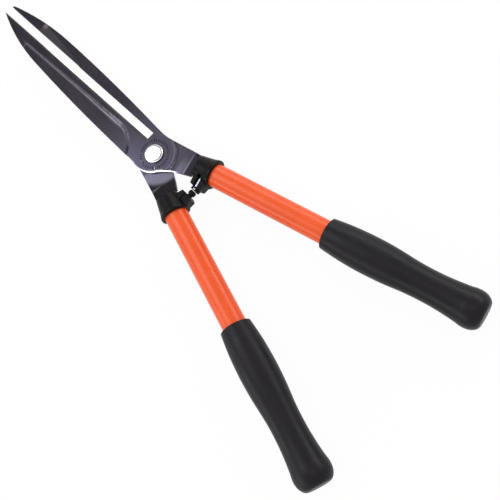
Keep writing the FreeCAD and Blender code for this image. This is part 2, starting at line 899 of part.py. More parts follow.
def build_spring_washer(label):
    """A conical spring washer: its inner rim bears on the nut, its outer rim on the flat washer."""
    body = new_body(label, FreeCAD.Placement())
    inner = named("bolt_thread_radius") + named("washer_play")
    outer = named("spring_radius")
    low = named("bolt_tail") + named("nut_height")
    high = low + named("spring_height")
    thick = named("spring_thickness")
    profile = new_sketch(body, "profile", "XZ_Plane")
    draw_outline(profile, (inner, low), [
        line_to(outer, high - thick),
        line_to(outer, high),
        line_to(inner, low + thick),
        line_to(inner, low),
    ])
    revolve(profile, "V_Axis")


def build_lock_nut(label):
    body = new_body(label, FreeCAD.Placement())
    across = named("nut_across")
    bottom = named("bolt_tail")
    height = named("nut_height")
    over = named("overrun")
    hexagon = new_sketch(body, "hexagon", "XY_Plane", lifted(bottom))
    draw_hexagon(hexagon, across)
    grow(hexagon, height)
    bore = new_sketch(body, "bore", "XY_Plane", lifted(bottom + height))
    draw_circle(bore, named("bolt_thread_radius") + named("slip_fit"))
    cut(bore, height + over)
    recess = new_sketch(body, "ring_recess", "XY_Plane", lifted(bottom + named("ring_height")))
    draw_circle(recess, named("ring_radius"))
    cut(recess, named("ring_height") + over)

    # The corners are turned off to a cone at both ends
    start = across.half() - named("nut_chamfer").half()
    slope = tangent(as_size(NUT_SLOPE))
    for name, level, rise in (("upper_cone", bottom + height, -slope), ("lower_cone", bottom, slope)):
        corner = new_sketch(body, name, "XZ_Plane")
        beyond = level - rise * over
        draw_outline(corner, (start, level), [
            line_to(start + over, level + rise * over),
            line_to(start + over, beyond),
            line_to(start, beyond),
            line_to(start, level),
        ])
        revolve(corner, "V_Axis", "Groove")


for name, upper in (("upper", True), ("lower", False)):
    forge_blade(f"{name}_blade", upper)
    build_tube(f"{name}_tube", upper)
    build_tang_sleeve(f"{name}_tang_sleeve", upper)
    build_tang_pin(f"{name}_tang_pin", upper)
    build_ferrule(f"{name}_ferrule", upper)
    build_grip(f"{name}_grip", upper)
    build_tube_plug(f"{name}_tube_plug", upper)
build_striker("striker_pin")
build_buffer("rubber_buffer")
build_pivot_bolt("pivot_bolt")
build_ring(
    "pivot_bush",
    sliding_plane + half_gap,
    named("boss_thickness"),
    named("bush_radius"),
    named("bolt_neck_radius") + named("pivot_clearance"),
)
build_ring(
    "thrust_washer",
    stack_height - named("washer_thickness"),
    named("washer_thickness"),
    named("washer_radius"),
    named("bolt_thread_radius") + named("washer_play"),
)
build_spring_washer("spring_washer")
build_lock_nut("lock_nut")
build_ring(
    "nut_nylon_ring",
    named("bolt_tail"),
    named("ring_height"),
    named("ring_radius") - named("pivot_clearance"),
    named("bolt_thread_radius") + named("pivot_clearance"),
)

doc.recompute()
for item in doc.Objects:
    if "Invalid" in item.State or "Error" in item.State:
        raise RuntimeError(f"{item.Label} is {item.State}")
bodies = doc.findObjects("PartDesign::Body")
for body in bodies:
    if body.Shape.isNull() or not body.Shape.isValid() or not body.Shape.Solids:
        raise RuntimeError(f"{body.Label} has no valid solid")

os.makedirs("parts", exist_ok=True)
for body in bodies:
    body.Shape.exportStep(f"parts/{body.Label}.step")
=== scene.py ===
import json
import math

import bmesh
import bpy
from mathutils import Matrix, Vector


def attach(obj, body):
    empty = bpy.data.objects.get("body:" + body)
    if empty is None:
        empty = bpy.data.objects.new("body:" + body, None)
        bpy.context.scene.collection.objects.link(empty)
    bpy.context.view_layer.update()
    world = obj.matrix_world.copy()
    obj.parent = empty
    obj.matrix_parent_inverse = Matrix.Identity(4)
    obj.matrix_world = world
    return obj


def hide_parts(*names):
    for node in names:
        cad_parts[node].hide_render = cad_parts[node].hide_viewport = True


# Hedge shears on a pale floor, seen from above and from the handle side.
# Lengths below are in millimetres and angles in degrees; metres are made where a mesh is written.
# Only the floor and the lamps are given in metres, and the scales of patterns count per metre.

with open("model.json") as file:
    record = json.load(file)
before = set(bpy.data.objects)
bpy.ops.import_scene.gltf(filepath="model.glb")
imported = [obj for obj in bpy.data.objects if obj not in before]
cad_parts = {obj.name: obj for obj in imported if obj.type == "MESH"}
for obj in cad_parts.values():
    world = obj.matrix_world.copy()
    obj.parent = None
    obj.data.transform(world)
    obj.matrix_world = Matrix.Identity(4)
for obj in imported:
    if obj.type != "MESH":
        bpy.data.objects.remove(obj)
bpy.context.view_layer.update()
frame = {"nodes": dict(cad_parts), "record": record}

MM = 0.001
SLIDING_PLANE = 17.2
BOSS_TOP = 22.25
BOSS_UNDERSIDE = 12.15
BOSS_THICKNESS = 5.0
TAPER_START = 30.0
BLADE_TAPER = 3.0 / 220.5
RECESS_FLOOR = 2.4

HANDLE_OFFSET = 9.82
HANDLE_ANGLE = 15.0
TUBE_RADIUS = 11.1
TUBE_WALL = 1.2
TUBE_START = 53.8
TUBE_END = 308.0
GRIP_START = 179.7
GRIP_LENGTH = 149.0
GRIP_LARGEST_RADIUS = 17.2

JOIN_WITHIN = 0.002
FLAT_WITHIN = 0.5

slot_of_node = {part["node"]: part["material_slot"] for part in frame["record"]["subparts"]}
body_of_node = {
    node: body
    for body, nodes in frame["record"]["behaviour"]["bodies"].items()
    for node in nodes
}


def handle_matrix(upper):
    """x runs out along the tube, y away from the other handle; the lower half is turned over about Y."""
    angle = math.radians(HANDLE_ANGLE)
    along = Vector((math.sin(angle), -math.cos(angle), 0.0))
    across = Vector((math.cos(angle), math.sin(angle), 0.0))
    rows = Matrix((along, across, along.cross(across))).transposed().to_4x4()
    rows.translation = Vector((HANDLE_OFFSET, 0.0, 0.0))
    turn = Matrix.Identity(4) if upper else Matrix.Rotation(math.pi, 4, "Y")
    return Matrix.Translation((0.0, 0.0, SLIDING_PLANE)) @ turn @ rows


# Pieces

def new_object(name, data):
    made = bpy.data.objects.new(name, data)
    bpy.context.scene.collection.objects.link(made)
    return made


def mesh_of(made, name):
    """Writes a finished bmesh to a new mesh."""
    mesh = bpy.data.meshes.new(name)
    made.to_mesh(mesh)
    made.free()
    return mesh


def baked(piece):
    """The piece with its modifiers applied."""
    graph = bpy.context.evaluated_depsgraph_get()
    mesh = bpy.data.meshes.new_from_object(piece.evaluated_get(graph), depsgraph=graph)
    piece.modifiers.clear()
    piece.data = mesh
    return piece


def stands_for(piece, node, material):
    """Puts a finished piece in its node's place, on the node's body and with the given material."""
    piece.data.materials.clear()
    piece.data.materials.append(material)
    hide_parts(node)
    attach(piece, body_of_node[node])


def joined_copy(node, name):
    """A copy of a node's mesh with its loose triangles joined and its flat faces made whole."""
    mesh = frame["nodes"][node].data.copy()
    made = bmesh.new()
    made.from_mesh(mesh)
    bmesh.ops.remove_doubles(made, verts=made.verts, dist=JOIN_WITHIN * MM)
    bmesh.ops.dissolve_limit(made, angle_limit=math.radians(FLAT_WITHIN), verts=made.verts, edges=made.edges)
    made.to_mesh(mesh)
    made.free()
    return new_object(name, mesh)


def round_edges(piece, width, sharp=25.0, wide=None, segments=2):
    """Rounds the sharp edges; wide(edge) gives a factor for the edges that are rounded more."""
    made = bmesh.new()
    made.from_mesh(piece.data)
    weight = made.edges.layers.float.new("bevel_weight_edge")
    largest = 1.0
    for edge in made.edges:
        if len(edge.link_faces) == 2 and edge.calc_face_angle(0.0) > math.radians(sharp):
            edge[weight] = wide(edge) if wide else 1.0
            largest = max(largest, edge[weight])
    for edge in made.edges:
        edge[weight] /= largest
    made.to_mesh(piece.data)
    made.free()
    bevel = piece.modifiers.new("rounded_edges", "BEVEL")
    bevel.limit_method = "WEIGHT"
    bevel.width = width * largest * MM
    bevel.segments = segments
    bevel.use_clamp_overlap = False
    return baked(piece)


def smooth(piece):
    piece.data.polygons.foreach_set("use_smooth", [True] * len(piece.data.polygons))
    return piece


def shade(piece, sharp=35.0):
    """Smooth shading that stays even over the flats."""
    smooth(piece).data.set_sharp_from_angle(angle=math.radians(sharp))
    evened = piece.modifiers.new("even_flats", "WEIGHTED_NORMAL")
    evened.keep_sharp = True
    evened.weight = 100
    return piece


def cut_away(piece, cutter):
    boolean = piece.modifiers.new("cut", "BOOLEAN")
    boolean.operation = "DIFFERENCE"
    boolean.solver = "EXACT"
    boolean.object = cutter
    baked(piece)
    bpy.data.objects.remove(cutter)


def lathe(name, profile, place, steps=96, ring=False):
    """Turns a profile of (along, radius) points about the x axis of place; a ring's profile is closed."""
    made = bmesh.new()
    rows = []
    for along, radius in profile:
        if radius == 0:
            rows.append([made.verts.new(place @ Vector((along, 0.0, 0.0)) * MM)])
            continue
        row = []
        for step in range(steps):
            angle = math.tau * step / steps
            point = Vector((along, radius * math.cos(angle), radius * math.sin(angle)))
            row.append(made.verts.new(place @ point * MM))
        rows.append(row)
    following = rows[1:] + (rows[:1] if ring else [])
    for row, after in zip(rows, following):
        for step in range(steps):
            here, there = step % len(row), (step + 1) % len(row)
            over, beyond = step % len(after), (step + 1) % len(after)
            corners = [row[here], row[there], after[beyond], after[over]]
            made.faces.new(list(dict.fromkeys(corners)))
    bmesh.ops.recalc_face_normals(made, faces=made.faces)
    return new_object(name, mesh_of(made, name))


def between(before, start, stop, after, share):
    """A smooth curve's value a share of the way from start to stop."""
    straight = (stop - before) * share
    bent = (2 * before - 5 * start + 4 * stop - after) * share ** 2
    twisted = (3 * start - 3 * stop + after - before) * share ** 3
    return 0.5 * (2 * start + straight + bent + twisted)


def flowing(points, spans=8):
    """A smooth curve through the points, as more points."""
    ends = [points[0], *points, points[-1]]
    made = []
    for four in zip(ends, ends[1:], ends[2:], ends[3:]):
        for step in range(spans):
            made.append(tuple(between(*values, step / spans) for values in zip(*four)))
    return [*made, points[-1]]


# Node trees

def place_node(tree, kind, sockets=None, **settings):
    made = tree.nodes.new(kind)
    for key, value in settings.items():
        setattr(made, key, value)
    for key, value in (sockets or {}).items():
        if isinstance(value, bpy.types.NodeSocket):
            tree.links.new(value, made.inputs[key])
        else:
            made.inputs[key].default_value = value
    return made


def maths(tree, operation, first, second=0.0, third=0.0):
    return place_node(tree, "ShaderNodeMath", {0: first, 1: second, 2: third}, operation=operation).outputs[0]


def vector_maths(tree, operation, first, second=(0.0, 0.0, 0.0)):
    made = place_node(tree, "ShaderNodeVectorMath", {0: first, 1: second}, operation=operation)
    return made.outputs["Value" if operation == "LENGTH" else "Vector"]


def parts_of(tree, vector):
    return place_node(tree, "ShaderNodeSeparateXYZ", {0: vector}).outputs


def vector_of(tree, first, second, third=0.0):
    return place_node(tree, "ShaderNodeCombineXYZ", {0: first, 1: second, 2: third}).outputs[0]


def step_up(tree, value, low, high, bottom=0.0, top=1.0):
    """Rises smoothly from bottom at low to top at high."""
    sockets = {"Value": value, "From Min": low, "From Max": high, "To Min": bottom, "To Max": top}
    return place_node(tree, "ShaderNodeMapRange", sockets, interpolation_type="SMOOTHSTEP").outputs["Result"]


def within(tree, value, low, high, soft):
    """A mask between low and high, with soft sides."""
    rise = step_up(tree, value, low - soft, low + soft)
    fall = step_up(tree, value, high - soft, high + soft)
    return maths(tree, "SUBTRACT", rise, fall)


def both(tree, *masks):
    product = masks[0]
    for mask in masks[1:]:
        product = maths(tree, "MULTIPLY", product, mask)
    return product


def either(tree, first, second):
    return maths(tree, "MAXIMUM", first, second)


def all_but(tree, mask):
    return maths(tree, "SUBTRACT", 1.0, mask)


def blend_colours(tree, share, first, second):
    first, second = (c if isinstance(c, bpy.types.NodeSocket) else (*c, 1.0) for c in (first, second))
    sockets = {"Factor": share, 6: first, 7: second}
    return place_node(tree, "ShaderNodeMix", sockets, data_type="RGBA").outputs[2]


def blend_values(tree, share, first, second):
    sockets = {"Factor": share, 2: first, 3: second}
    return place_node(tree, "ShaderNodeMix", sockets, data_type="FLOAT").outputs[0]


def noise(tree, vector, scale, detail=3.0, roughness=0.55):
    sockets = {"Vector": vector, "Scale": scale, "Detail": detail, "Roughness": roughness}
    return place_node(tree, "ShaderNodeTexNoise", sockets).outputs[0]


def bump(tree, height, distance, strength=1.0, normal=None):
    sockets = {"Height": height, "Distance": distance * MM, "Strength": strength}
    if normal is not None:
        sockets["Normal"] = normal
    return place_node(tree, "ShaderNodeBump", sockets).outputs[0]


SOCKET_KINDS = {
    tuple: "NodeSocketVector",
    float: "NodeSocketFloat",
    int: "NodeSocketInt",
    type(None): "NodeSocketMaterial",
}


def new_group(name, inputs, outputs, tree_kind="ShaderNodeTree"):
    """A node group; inputs give a name and a default, or no default for a material."""
    group = bpy.data.node_groups.new(name, tree_kind)
    for label, default in inputs.items():
        made = group.interface.new_socket(label, in_out="INPUT", socket_type=SOCKET_KINDS[type(default)])
        if default is not None:
            made.default_value = default
    for label, kind in outputs.items():
        group.interface.new_socket(label, in_out="OUTPUT", socket_type=kind)
    return group, place_node(group, "NodeGroupInput").outputs


def use_group(tree, group, **sockets):
    return place_node(tree, "ShaderNodeGroup", sockets, node_tree=group).outputs


def make_surface_grain():
    """Fine grain and slow clouds, both from 0 to 1. Stretch squeezes the pattern along each axis."""
    inputs = {"Vector": (0.0, 0.0, 0.0), "Stretch": (1.0, 1.0, 1.0), "Grain": 2500.0, "Cloud": 60.0}
    outputs = {"Grain": "NodeSocketFloat", "Cloud": "NodeSocketFloat"}
    group, given = new_group("surface_grain", inputs, outputs)
    stretched = vector_maths(group, "MULTIPLY", given["Vector"], given["Stretch"])
    fine = noise(group, stretched, given["Grain"], 2.0)
    slow = noise(group, given["Vector"], given["Cloud"], 4.0, 0.6)
    place_node(group, "NodeGroupOutput", {"Grain": fine, "Cloud": step_up(group, slow, 0.3, 0.7)})
    return group


def make_rims_worn_and_highlighted():
    """Where a forging is rubbed bright and has a painted highlight: rims that face between Low and High,
    broken up by patches.
    """
    soft = 0.08
    inputs = {"Vector": (0.0, 0.0, 0.0), "Facing": 0.5, "Low": 0.2, "High": 0.95, "Patches": 250.0}
    group, given = new_group("rims_worn_and_highlighted", inputs, {"Worn_and_highlighted": "NodeSocketFloat"})
    above = step_up(group, given["Facing"], given["Low"], maths(group, "ADD", given["Low"], soft))
    below = step_up(group, given["Facing"], given["High"], maths(group, "SUBTRACT", given["High"], soft))
    patches = step_up(group, noise(group, given["Vector"], given["Patches"]), 0.35, 0.62, 0.25)
    place_node(group, "NodeGroupOutput", {"Worn_and_highlighted": both(group, above, below, patches)})
    return group


surface_grain = make_surface_grain()
rims_worn_and_highlighted = make_rims_worn_and_highlighted()


def new_material(name):
    made = bpy.data.materials.new(name)
    made.use_nodes = True
    made.node_tree.nodes.clear()
    return made, made.node_tree


def coordinates(tree):
    return place_node(tree, "ShaderNodeTexCoord").outputs


def surface(tree, **sockets):
    """The material's Principled shader; socket names are given with underscores."""
    named = {key.replace("_", " "): value for key, value in sockets.items()}
    shader = place_node(tree, "ShaderNodeBsdfPrincipled", named)
    place_node(tree, "ShaderNodeOutputMaterial", {"Surface": shader.outputs[0]})


# Finish of the forgings

# Straight lines down the blade, by their own x at the pivot and their slope. The rib has two, one for the
# half near the boss and one for the half near the tip.
EDGE_LINE = (7.41, -0.04635)
NEAR_RIB_LINE = (-2.5, -0.0268)
FAR_RIB_LINE = (1.8, -0.0650)
FACET_LINE = (0.435, -0.0824)

BARE_BLADE_COLOUR = (0.027, 0.024, 0.031)
# Colours laid over the bare one in this order, each on its mark and with its share
FORGING_LAYERS = [
    # Painted sheen: the blade is lighter towards the boss, where the steel mirrors more light
    ("root_sheen", 1.0, (0.053, 0.049, 0.067)),
    ("clouds", 0.3, (0.043, 0.039, 0.049)),
    # Painted highlight along the rib beside the recess
    ("rib_highlight", 0.75, (0.098, 0.090, 0.106)),
    # Painted sheen on the facet of the lower blade
    ("facet_sheen", 1.0, (0.056, 0.050, 0.057)),
    # Painted highlight at the facet's end
    ("facet_end_highlight", 1.0, (0.17, 0.155, 0.165)),
    # Painted sheen on the heel side of the boss
    ("heel_sheen", 1.0, (0.062, 0.058, 0.088)),
    # Painted sheen on the tang's side towards the other handle
    ("inner_tang_sheen", 0.6, (0.13, 0.125, 0.175)),
    # Painted highlight on the ridge round the boss
    ("ridge_highlight", 0.5, (0.11, 0.10, 0.14)),
    # Painted shadow in a band round the boss, beside the ridge
    ("hollow", 0.6, (0.026, 0.022, 0.032)),
    # Painted shade on the sliding side of the tang, which is also left rough where it is not lapped
    ("shaded_plane_side", 1.0, (0.018, 0.017, 0.019)),
    ("lapped", 1.0, (0.098, 0.094, 0.128)),
    # Painted shade on the tang past the bend
    ("past_bend", 0.8, (0.018, 0.015, 0.019)),
    # Painted highlight along the tang's bend
    ("bend", 0.75, (0.22, 0.21, 0.28)),
    # Rims worn bright in patches, with a painted highlight
    ("rim_wear_and_highlight", 1.0, (0.210, 0.198, 0.240)),
    # Painted shade on the steep walls near the boss
    ("wall", 1.0, (0.050, 0.046, 0.060)),
    # Inner rim ground bright, with a painted highlight
    ("inner_rim_polish_and_highlight", 1.0, (0.80, 0.80, 0.90)),
    # Back rim worn, with a painted highlight
    ("back_rim_wear_and_highlight", 1.0, (0.80, 0.80, 0.86)),
    ("edge", 1.0, (0.036, 0.031, 0.034)),
    ("honed", 1.0, (0.85, 0.85, 0.86)),
    ("stamped", 1.0, (0.012, 0.010, 0.016)),
    ("land", 1.0, (0.95, 0.95, 0.95)),
]
BLACKENED_ROUGHNESS = 0.27
CLOUDED_ROUGHNESS = 0.10
POLISHED_ROUGHNESS = 0.12
UNLAPPED_ROUGHNESS = 0.6
INNER_RIM_POLISH = 0.5
GLANCING_TINT = (0.6, 0.6, 0.6, 1.0)
WALL_SLANT = 0.9


def slanted(tree, x, y, angle):
    """How far a point lies in the direction that is turned by angle from the x axis."""
    return maths(tree, "MULTIPLY_ADD", x, math.cos(angle), maths(tree, "MULTIPLY", y, math.sin(angle)))


def beside(tree, x, y, line):
    """How far a point lies beside a line down the blade."""
    start, slope = line
    return maths(tree, "SUBTRACT", x, maths(tree, "MULTIPLY_ADD", y, slope, start))


class ForgingPlace:
    """Where a point is on a forging and how it faces there, in millimetres, with masks made from that.

    Seen in its own frame each half is the same, with its edge on +x and its heel on -x.
    """

    def __init__(self, tree, place, normal):
        self.tree = tree
        x, y, z = parts_of(tree, vector_maths(tree, "MULTIPLY", place, (1 / MM, 1 / MM, 1 / MM)))
        upward = parts_of(tree, normal)[2]
        height = maths(tree, "SUBTRACT", z, SLIDING_PLANE)
        # The bent ends of the tangs cross the sliding plane, and there the side tells which half it is
        bent_end = step_up(tree, y, -24.0, -26.0)
        half = blend_values(tree, bent_end, maths(tree, "SIGN", height), maths(tree, "SIGN", x))
        own_x = maths(tree, "MULTIPLY", x, half)
        angle = math.radians(HANDLE_ANGLE)
        off_middle = maths(tree, "SUBTRACT", slanted(tree, own_x, y, angle), HANDLE_OFFSET * math.cos(angle))
        self.sockets = {
            "y": y,
            "own_x": own_x,
            "off_plane": maths(tree, "ABSOLUTE", height),
            "from_pivot": vector_maths(tree, "LENGTH", vector_of(tree, x, y)),
            "along_handle": slanted(tree, own_x, y, angle - math.pi / 2),
            "across_handle": off_middle,
            "past_edge": beside(tree, own_x, y, EDGE_LINE),
            "off_facet": beside(tree, own_x, y, FACET_LINE),
            "off_rib": either(
                tree, beside(tree, own_x, y, NEAR_RIB_LINE), beside(tree, own_x, y, FAR_RIB_LINE),
            ),
            "facing": maths(tree, "ABSOLUTE", upward),
            "outward": maths(tree, "MULTIPLY", upward, half),
        }

    def ramp(self, what, start, full, bottom=0.0, top=1.0):
        """Goes from bottom where it starts to top where it is full."""
        return step_up(self.tree, self.sockets[what], start, full, bottom, top)

    def band(self, what, low, high, soft):
        return within(self.tree, self.sockets[what], low, high, soft)

    def all_of(self, *masks):
        return both(self.tree, *masks)

    def outer_side(self):
        return self.ramp("off_plane", 2.4, 3.2)

    def steep(self):
        return self.ramp("facing", 0.75, 0.35)


def blade_marks(at):
    """The blade: its polished land, ground edge and honed line, a painted highlight on the rib beside the
    recess, and a painted sheen towards the boss and on the facet.
    """
    blade = at.ramp("y", 17.2, 17.6)
    touching = at.all_of(at.ramp("off_plane", 0.075, 0.055), at.ramp("facing", 0.96, 0.99))
    # Painted sheen on the facet, fading away from the tip
    facet_sheen = at.all_of(
        at.ramp("off_facet", -0.4, 0.4), at.ramp("y", 204.5, 201.5), at.ramp("y", 118.0, 200.0, bottom=0.2),
        at.ramp("outward", -0.3, -0.6),
    )
    return {
        # Painted sheen, lighter towards the boss
        "root_sheen": at.ramp("y", 75.0, 12.0),
        "land": at.all_of(touching, blade),
        "edge": at.all_of(at.ramp("past_edge", -3.3, -2.9), blade),
        "honed": at.all_of(at.ramp("past_edge", -0.70, -0.25), blade),
        # Painted highlight along the rib
        "rib_highlight": at.all_of(
            at.band("off_rib", -2.0, 0.4, 1.3), at.band("y", 52.0, 203.0, 6.0), at.ramp("outward", 0.3, 0.6),
        ),
        "facet_sheen": facet_sheen,
        # Painted highlight at the facet's end
        "facet_end_highlight": at.all_of(facet_sheen, at.ramp("y", 196.0, 201.0), at.ramp("own_x", -10.0, -15.0)),
    }


def boss_marks(at):
    """The boss: a painted sheen on the heel, stamps, and the side on the other half, lapped round the bolt
    and painted with shade past that.
    """
    # The sliding side of the tang, painted with shade where it is not lapped
    shaded_plane_side = at.all_of(at.ramp("outward", -0.6, -0.85), at.ramp("along_handle", 8.0, 12.0))
    return {
        # Painted sheen on the heel
        "heel_sheen": at.all_of(at.ramp("own_x", 4.0, -20.0), at.ramp("y", 45.0, 5.0), at.outer_side()),
        "shaded_plane_side": shaded_plane_side,
        "lapped": at.all_of(shaded_plane_side, at.ramp("from_pivot", 31.5, 26.0)),
        "stamped": at.all_of(
            at.band("off_plane", 4.70, 4.98, 0.02), at.ramp("facing", 0.8, 0.9),
            at.ramp("from_pivot", 17.0, 16.0),
        ),
    }


def tang_marks(at):
    """The tang: a painted highlight on a ridge and a painted shadow in a band round the boss, a painted sheen
    on the inner side, a painted highlight on the bend and painted shade past it.
    """
    tang = at.ramp("y", 0.0, -6.0)
    outer_side = at.outer_side()
    return {
        # Painted highlight on the ridge
        "ridge_highlight": at.all_of(at.band("from_pivot", 19.0, 20.6, 0.6), tang, outer_side),
        # Painted shadow in the band beside the ridge
        "hollow": at.all_of(at.band("from_pivot", 21.0, 24.0, 0.8), tang, outer_side),
        # Painted sheen on the inner side of the tang
        "inner_tang_sheen": at.all_of(
            at.ramp("across_handle", 6.0, -11.0), at.band("along_handle", 27.0, 34.0, 2.0), outer_side,
        ),
        # Painted highlight on the bend
        "bend": at.all_of(
            at.band("along_handle", 34.3, 35.3, 0.8), outer_side,
            at.ramp("across_handle", 12.0, -11.0, bottom=0.25),
        ),
        # Painted shade past the bend
        "past_bend": at.all_of(at.ramp("along_handle", 34.6, 36.4), tang),
    }


def inner_marks(at):
    """The rim and wall that face the other handle, without the step beside the boss; the rim is ground bright
    and has a painted highlight.
    """
    step = at.all_of(at.ramp("own_x", -6.0, -4.0), at.ramp("off_plane", 3.95, 4.05))
    inner_side = at.all_of(
        at.ramp("across_handle", -4.0, -7.0), at.ramp("y", 22.5, 18.0),
        at.ramp("from_pivot", 34.0, 27.0, bottom=0.05), all_but(at.tree, step),
    )
    return {
        "inner_wall": at.all_of(at.steep(), inner_side),
        # Inner rim ground bright, with a painted highlight
        "inner_rim_polish_and_highlight": at.all_of(at.ramp("facing", 0.985, 0.93), inner_side, at.ramp("off_plane", 1.0, 1.5)),
    }


def rim_marks(at, place, marks):
    """The other rims, rubbed in patches and with a painted highlight, the blade's back rim, worn and with a
    painted highlight, and the walls near the boss, painted darker as shade.
    """
    tree = at.tree
    off_edge = all_but(tree, marks["edge"])
    worn_and_highlighted = use_group(
        tree, rims_worn_and_highlighted, Vector=place, Facing=at.sockets["facing"], Low=0.25, High=0.985, Patches=120.0,
    )["Worn_and_highlighted"]
    recess_mouth = at.all_of(at.ramp("own_x", -10.0, -13.5), at.band("y", 20.0, 33.0, 2.0))
    scratches = step_up(tree, noise(tree, place, 420.0, 2.0), 0.38, 0.55, 0.35)
    return {
        # Worn rims with a painted highlight, fading towards the tip
        "rim_wear_and_highlight": at.all_of(
            worn_and_highlighted, off_edge, at.ramp("y", 260.0, 20.0, bottom=0.35), at.ramp("y", 8.0, 24.0, bottom=0.4),
            at.ramp("y", 110.0, 40.0, 0.5, 0.9), at.ramp("along_handle", 34.0, 32.5),
            all_but(tree, either(tree, marks["shaded_plane_side"], recess_mouth)),
        ),
        # Worn back rim with a painted highlight
        "back_rim_wear_and_highlight": at.all_of(
            at.ramp("facing", 0.985, 0.90), at.band("off_plane", 1.0, 2.6, 0.2), at.ramp("y", 32.0, 38.0),
            at.ramp("y", 170.0, 40.0, bottom=0.2), scratches, off_edge,
        ),
        # Painted shade on the steep walls near the boss
        "wall": at.all_of(at.steep(), at.ramp("y", 60.0, 22.0), off_edge),
    }


def make_forged_steel():
    """Blackened forging: dark blade, painted sheen and shade, worn rims with painted highlights, and a
    polished land along the edge.
    """
    made, tree = new_material("forged_steel")
    where = coordinates(tree)
    place = where["Object"]
    at = ForgingPlace(tree, place, where["Normal"])
    grain = use_group(tree, surface_grain, Vector=place, Stretch=(1.0, 0.3, 1.0), Grain=1500.0, Cloud=40.0)
    marks = {"clouds": grain["Cloud"], **blade_marks(at), **boss_marks(at), **tang_marks(at)}
    marks.update(inner_marks(at))
    marks.update(rim_marks(at, place, marks))

    colour = BARE_BLADE_COLOUR
    for mark, share, laid_over in FORGING_LAYERS:
        colour = blend_colours(tree, maths(tree, "MULTIPLY", marks[mark], share), colour, laid_over)
    rough = maths(tree, "MULTIPLY_ADD", grain["Cloud"], CLOUDED_ROUGHNESS, BLACKENED_ROUGHNESS)
    polished = either(tree, marks["land"], maths(tree, "MULTIPLY", marks["inner_rim_polish_and_highlight"], INNER_RIM_POLISH))
    rough = blend_values(tree, polished, rough, POLISHED_ROUGHNESS)
    unlapped = both(tree, marks["shaded_plane_side"], all_but(tree, marks["lapped"]))
    rough = blend_values(tree, unlapped, rough, UNLAPPED_ROUGHNESS)
    relief = both(tree, grain["Grain"], all_but(tree, either(tree, marks["land"], marks["wall"])))
    # The inner wall is ground with a slant, so that it catches the light from above
    slant = both(tree, maths(tree, "MULTIPLY", at.sockets["off_plane"], -WALL_SLANT), marks["inner_wall"])
    surface(
        tree, Base_Color=colour, Metallic=1.0, Roughness=rough, Specular_Tint=GLANCING_TINT,
        Normal=bump(tree, slant, 1.0, 1.0, bump(tree, relief, 0.02, 0.6)),
    )
    return made


# Other finishes

PLATING_SHADE = 0.8
PLATING_DULLING = 0.12
MOULDING_DULLING = 0.10
BOLT_GROOVE = (7.36, 7.95)
BOLT_GROOVE_HEIGHT = 24.0


def make_turned_steel():
    """Polished steel with the fine rings that turning leaves, and painted shade in the groove of the bolt's
    head.
    """
    made, tree = new_material("turned_steel")
    place = coordinates(tree)["Object"]
    x, y, z = parts_of(tree, place)
    from_axis = vector_maths(tree, "LENGTH", vector_of(tree, x, y))
    rings = noise(tree, vector_of(tree, from_axis, z), 5200.0, 2.0)
    cloud = use_group(tree, surface_grain, Vector=place, Grain=900.0, Cloud=150.0)["Cloud"]
    colour = blend_colours(tree, cloud, (0.95, 0.95, 0.96), (0.99, 0.99, 0.99))
    shaded_groove = within(tree, from_axis, BOLT_GROOVE[0] * MM, BOLT_GROOVE[1] * MM, 0.06 * MM)
    on_head = step_up(tree, z, BOLT_GROOVE_HEIGHT * MM, (BOLT_GROOVE_HEIGHT + 0.2) * MM)
    # Painted shade in the groove of the bolt's head
    colour = blend_colours(tree, both(tree, shaded_groove, on_head), colour, (0.10, 0.10, 0.13))
    rough = blend_values(tree, cloud, 0.10, 0.17)
    surface(tree, Base_Color=colour, Metallic=1.0, Roughness=rough, Normal=bump(tree, rings, 0.004, 0.5))
    return made


def make_plated_steel(name, colour, dull):
    """Plain metal with a slightly clouded skin."""
    made, tree = new_material(name)
    grain = use_group(tree, surface_grain, Vector=coordinates(tree)["Object"], Grain=3000.0, Cloud=200.0)
    darker = tuple(PLATING_SHADE * channel for channel in colour)
    surface(
        tree, Base_Color=blend_colours(tree, grain["Cloud"], colour, darker), Metallic=1.0,
        Roughness=blend_values(tree, grain["Cloud"], dull, dull + PLATING_DULLING),
        Normal=bump(tree, grain["Grain"], 0.01, 0.5),
    )
    return made


def make_lacquer():
    """Orange lacquer over steel tube, slightly clouded."""
    made, tree = new_material("orange_lacquer")
    grain = use_group(tree, surface_grain, Vector=coordinates(tree)["Object"], Grain=700.0, Cloud=35.0)
    surface(
        tree, Base_Color=blend_colours(tree, grain["Cloud"], (0.750, 0.083, 0.011), (0.790, 0.093, 0.015)),
        Roughness=blend_values(tree, grain["Cloud"], 0.25, 0.31),
        Specular_IOR_Level=0.28, Coat_Weight=0.1, Coat_Roughness=0.2,
        Normal=bump(tree, grain["Grain"], 0.004, 0.3),
    )
    return made


def make_moulded(name, light, dark, rough, texture, depth, gloss):
    """Moulded plastic or rubber: spark-grained skin, slightly mottled."""
    made, tree = new_material(name)
    grain = use_group(tree, surface_grain, Vector=coordinates(tree)["Object"], Grain=texture, Cloud=55.0)
    surface(
        tree, Base_Color=blend_colours(tree, grain["Cloud"], dark, light), Specular_IOR_Level=gloss,
        Roughness=maths(tree, "MULTIPLY_ADD", grain["Cloud"], MOULDING_DULLING, rough),
        Normal=bump(tree, grain["Grain"], depth, 0.5),
    )
    return made


